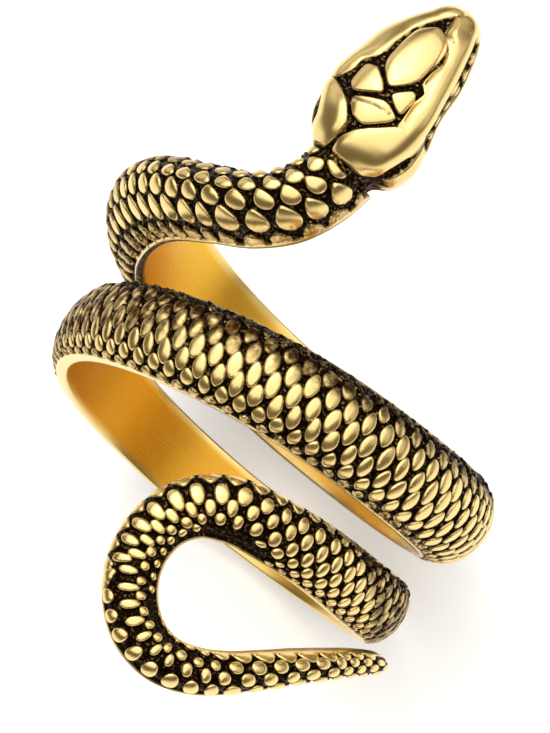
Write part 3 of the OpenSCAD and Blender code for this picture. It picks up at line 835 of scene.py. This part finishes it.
def gold_material(colours):
    """Cast brass, gold plated and tumbled bright, then blackened and wiped: mirror-like scales
    with dull near-black oxide in the grooves, flecked with gold where the wipe caught a grain.
    The hole is brushed round the band with a fine grit. The brown patches are partly stain on
    the crumpled rows and partly painted shade. The hole's gold is painted a deeper orange,
    standing in for light reflected between the gold faces."""
    name = "gold_plated_brass_blackened"
    if name in bpy.data.materials:
        return bpy.data.materials[name]
    material, tree = new_material(name)
    recess, tarnish_and_shade, hole = (add_node(tree, "Attribute", out="Fac", attribute_name=mark)
                             for mark in ("recess", "tarnish_and_shade", "hole"))
    strip = add_node(tree, "Attribute", out="Vector", attribute_name="strip")
    place = add_node(tree, "TexCoord", out="Object")

    # Flecks where bright metal shows through the oxide, more of them where it is tarnished
    grain = add_node(tree, "TexNoise", {"Vector": place, "Scale": 1 / (FLECK_SIZE * MM),
                                        "Detail": 3.0})
    fleck = add_node(tree, "MapRange", {"Value": grain, "From Min": 0.56, "From Max": 0.68})
    covered = add_node(tree, "MapRange", {"Value": recess, "From Min": 0.08, "From Max": 0.42})
    share = add_node(tree, "MapRange", {"Value": tarnish_and_shade, "To Min": 0.15, "To Max": 0.85})
    flecked = add_node(tree, "Math", {0: fleck, 1: share}, operation="MULTIPLY")
    unflecked = add_node(tree, "Math", {0: 1.0, 1: flecked}, operation="SUBTRACT")
    oxide = add_node(tree, "Math", {0: covered, 1: unflecked}, operation="MULTIPLY")
    # Brown in patches: stain on the crumpled rows, and painted shade on the head's right flank
    # and on the band where it turns from the light
    cloud = add_node(tree, "TexNoise", {"Vector": place, "Scale": 1 / (STAIN_AND_SHADE_PATCH * MM),
                                        "Detail": 3.0})
    patch = add_node(tree, "MapRange", {"Value": cloud, "From Min": 0.30, "From Max": 0.58,
                                        "To Min": 0.25})
    stained_and_shaded = add_node(tree, "Math", {0: patch, 1: tarnish_and_shade}, operation="MULTIPLY")

    # The gold, then the brown of stain and painted shade, the hole's orange that is painted reflected
    # light, and the oxide
    colour = colours.gold
    for cover, coat in ((stained_and_shaded, colours.stain_and_shade), (hole, colours.inside), (oxide, colours.oxide)):
        colour = add_node(tree, "Mix", {"Factor": cover, "A": colour, "B": coat}, out="Result",
                          data_type="RGBA")

    # Brush lines 0.05 mm apart and about 3 mm long, along the band
    stretched = add_node(tree, "Mapping", {"Vector": strip, "Scale": BRUSH_STRETCH})
    brushed = add_node(tree, "TexNoise", {"Vector": stretched, "Scale": 1.0, "Detail": 3.0})
    lines = add_node(tree, "Math", {0: brushed, 1: hole}, operation="MULTIPLY")
    pits = add_node(tree, "Math", {0: grain, 1: recess}, operation="MULTIPLY")
    relief = add_node(tree, "Math", {0: lines, 1: pits}, operation="ADD")
    bump = add_node(tree, "Bump", {"Height": relief, "Strength": 0.55,
                                   "Distance": BUMP_HEIGHT * MM})

    dull = add_node(tree, "MapRange", {"Value": oxide, "To Min": POLISHED_ROUGHNESS,
                                       "To Max": OXIDE_ROUGHNESS})
    satin = add_node(tree, "Math", {0: hole, 1: BRUSHED_ROUGHNESS}, operation="MULTIPLY")
    rough = add_node(tree, "Math", {0: dull, 1: satin}, operation="ADD")
    shader = add_node(tree, "BsdfPrincipled", {"Base Color": colour, "Metallic": 1.0,
                                               "Roughness": rough, "Normal": bump})
    add_node(tree, "OutputMaterial", {"Surface": shader})
    return material


def floor_material(colours):
    """Opal acrylic sheet lit from below, as on a light table, which keeps contact shadows faint."""
    material, tree = new_material("white_acrylic")
    shader = add_node(tree, "BsdfPrincipled", {
        "Base Color": colours.floor, "Roughness": 0.22, "IOR": 1.49,
        "Emission Color": colours.floor, "Emission Strength": 0.40})
    add_node(tree, "OutputMaterial", {"Surface": shader})
    return material


def size_property(name, description, size, low, high):
    """A length property in metres, from its default and limits in millimetres."""
    return bpy.props.FloatProperty(name=name, description=description, default=size * MM,
                                   min=low * MM, max=high * MM, precision=5, unit="LENGTH")


def colour_property(name, description, hex_colour):
    """A colour property, from its default as an sRGB hex value."""
    return bpy.props.FloatVectorProperty(name=name, description=description, size=4, min=0.0,
                                         max=1.0, default=linear(hex_colour), subtype="COLOR")


class SnakeRingShape(bpy.types.PropertyGroup):
    """Sizes of the scales, rims and plates."""

    relief: size_property("Relief", "Depth of the grooves between scales", 0.24, 0.05, 0.4)
    edge: size_property("Scale edge", "Width of the wall round a scale", 0.10, 0.03, 0.3)
    facet: bpy.props.FloatProperty(name="Facet", description="Cut at a scale's head end, as a "
                                   "share of its height", default=0.30, min=0.0, max=0.8,
                                   subtype="FACTOR")
    lean: bpy.props.FloatProperty(name="Scale lean", description="Turn of each scale from "
                                  "straight across", default=math.radians(3),
                                  min=math.radians(-30), max=math.radians(30), subtype="ANGLE")
    lip: size_property("Lip", "Rounding of the edges of the hole's face", 0.10, 0.02, 0.2)
    tip_length: size_property("Tail tip", "Length of the tail's rounded end", 0.45, 0.1, 1.0)
    nose_length: size_property("Nose", "Length of the rounded nose", 0.35, 0.1, 1.0)
    plate_depth: size_property("Plate height", "Height of the head's plates", 0.26, 0.05, 0.5)
    plate_edge: size_property("Plate edge", "Width of the wall round a plate", 0.16, 0.03, 0.3)
    plate_spread: size_property("Plate spread", "Growth of each plate's outline", 0.06, 0.0, 0.2)


class SnakeRingColours(bpy.types.PropertyGroup):
    """Colours of the metal and the floor."""

    gold: colour_property("Gold", "Plated and polished scales", "#EED28E")
    # Painted reflection: the hole's gold made a deeper orange, as light bounced between gold faces
    # would colour it
    inside: colour_property("Inside", "Brushed face of the hole", "#EABA44")
    # Brown of the stained crumpled rows, also used as painted shade on the head's right flank and the
    # band's turns
    stain_and_shade: colour_property("Stain", "Brown of the crumpled rows", "#4C3214")
    oxide: colour_property("Oxide", "Blackened grooves", "#180C04")
    floor: colour_property("Floor", "White acrylic sheet", "#F4F4F4")


class SNAKERING_OT_body(bpy.types.Operator):
    """Make the scaled body, from the tail tip to the neck"""

    bl_idname = "snakering.body"
    bl_label = "Scaled body"

    def execute(self, context):
        s, points, marks = body_surface(context.scene.snake_ring_shape)
        normals = turned_normals(points)
        material = gold_material(context.scene.snake_ring_colours)
        for name, first, last in PIECES:
            i, j = np.searchsorted(s, [first, last])
            part = slice(i, min(j + 1, len(s)))
            part_marks = {mark: values[part] for mark, values in marks.items()}
            grid_object(name, points[part], normals[part], part_marks, material)
        return {"FINISHED"}


class SNAKERING_OT_head(bpy.types.Operator):
    """Make the plated head"""

    bl_idname = "snakering.head"
    bl_label = "Plated head"

    def execute(self, context):
        _, points, marks = head_surface(context.scene.snake_ring_shape)
        material = gold_material(context.scene.snake_ring_colours)
        grid_object("head", points, turned_normals(points), marks, material)
        return {"FINISHED"}


def aimed(place, target, roll=0.0):
    """The turn of an object at place whose -Z looks at target, rolled about its own view."""
    z = np.array(place, float) - np.array(target, float)
    z /= np.linalg.norm(z)
    x = np.cross([0, 0, 1], z)
    x /= np.linalg.norm(x)
    y = np.cross(z, x)
    c, s = math.cos(roll), math.sin(roll)
    x, y = c * x + s * y, c * y - s * x
    return np.stack([x, y, z], 1)


# Softboxes: name, place, aim, width and height in mm, power in watts
SOFTBOXES = [
    ("tent_roof", (0, 0, 700), (0, 1, 8), 1500, 1500, 9.6),
    ("key_softbox", (-170, 130, 520), (0, 0, 8), 360, 360, 0.6),
    ("left_softbox", (-580, 170, 220), (0, 0, 10), 460, 280, 0.30),
    ("right_softbox", (520, 300, 290), (0, 0, 10), 560, 320, 0.34),
    ("back_softbox", (-100, 600, 300), (0, 0, 10), 500, 260, 0.20),
]

# The camera, in millimetres, and its view: aim, roll in degrees and focal length for a 24 mm frame
CAMERA_PLACE = (55.3, -52.6, 185.4)
CAMERA_AIM = (-1.53, 1.67, 10.0)
CAMERA_ROLL = 10.57
FRAME_HEIGHT = 24.0
FOCAL_LENGTH = 126.34
NEAREST_SEEN = 1.0

# The floor's half width in mm, and the warm light that comes from the rest of the room
FLOOR_HALF = 500
ROOM_LIGHT = (1.0, 0.80, 0.46, 1.0)
ROOM_STRENGTH = 0.15


class SNAKERING_OT_stage(bpy.types.Operator):
    """Make the floor, the studio lights and the camera"""

    bl_idname = "snakering.stage"
    bl_label = "Stage"

    def execute(self, context):
        scene = context.scene
        mesh = bpy.data.meshes.new("floor")
        half = FLOOR_HALF * MM
        mesh.from_pydata([(-half, -half, 0), (half, -half, 0), (half, half, 0), (-half, half, 0)],
                         [], [(0, 1, 2, 3)])
        mesh.materials.append(floor_material(scene.snake_ring_colours))
        set_out("floor", mesh, (0, 0, 0), np.eye(3))

        for name, place, aim, width, height, power in SOFTBOXES:
            light = bpy.data.lights.new(name, "AREA")
            light.shape = "RECTANGLE"
            light.size = width * MM
            light.size_y = height * MM
            light.energy = power
            set_out(name, light, place, aimed(place, aim))

        world = bpy.data.worlds.new("studio")
        world.use_nodes = True
        background = world.node_tree.nodes["Background"]
        background.inputs["Color"].default_value = ROOM_LIGHT
        background.inputs["Strength"].default_value = ROOM_STRENGTH
        scene.world = world
        scene.view_settings.view_transform = "Standard"

        data = bpy.data.cameras.new("camera")
        data.sensor_fit = "VERTICAL"
        data.sensor_height = FRAME_HEIGHT
        data.lens = FOCAL_LENGTH
        data.clip_start = NEAREST_SEEN * MM
        turn = aimed(CAMERA_PLACE, CAMERA_AIM, math.radians(-CAMERA_ROLL))
        scene.camera = set_out("camera", data, CAMERA_PLACE, turn)
        return {"FINISHED"}


class SNAKERING_PT_panel(bpy.types.Panel):
    """Sizes, colours and steps of the snake ring"""

    bl_label = "Snake Ring"
    bl_idname = "SNAKERING_PT_panel"
    bl_space_type = "VIEW_3D"
    bl_region_type = "UI"
    bl_category = "Snake Ring"

    def draw(self, context):
        for group in (context.scene.snake_ring_shape, context.scene.snake_ring_colours):
            box = self.layout.box()
            for name in group.__annotations__:
                box.prop(group, name)
        for step in STEPS:
            self.layout.operator(step.bl_idname)


STEPS = (SNAKERING_OT_body, SNAKERING_OT_head, SNAKERING_OT_stage)
CLASSES = (SnakeRingShape, SnakeRingColours, *STEPS, SNAKERING_PT_panel)


def register():
    for cls in CLASSES:
        bpy.utils.register_class(cls)
    bpy.types.Scene.snake_ring_shape = bpy.props.PointerProperty(type=SnakeRingShape)
    bpy.types.Scene.snake_ring_colours = bpy.props.PointerProperty(type=SnakeRingColours)


def unregister():
    del bpy.types.Scene.snake_ring_colours
    del bpy.types.Scene.snake_ring_shape
    for cls in reversed(CLASSES):
        bpy.utils.unregister_class(cls)


def plain(box):
    """A box as lists of plain numbers."""
    return [[float(x) for x in corner] for corner in box]


def main():
    register()
    bpy.ops.snakering.body()
    bpy.ops.snakering.head()
    bpy.ops.snakering.stage()


if __name__ == "__main__":
    main()
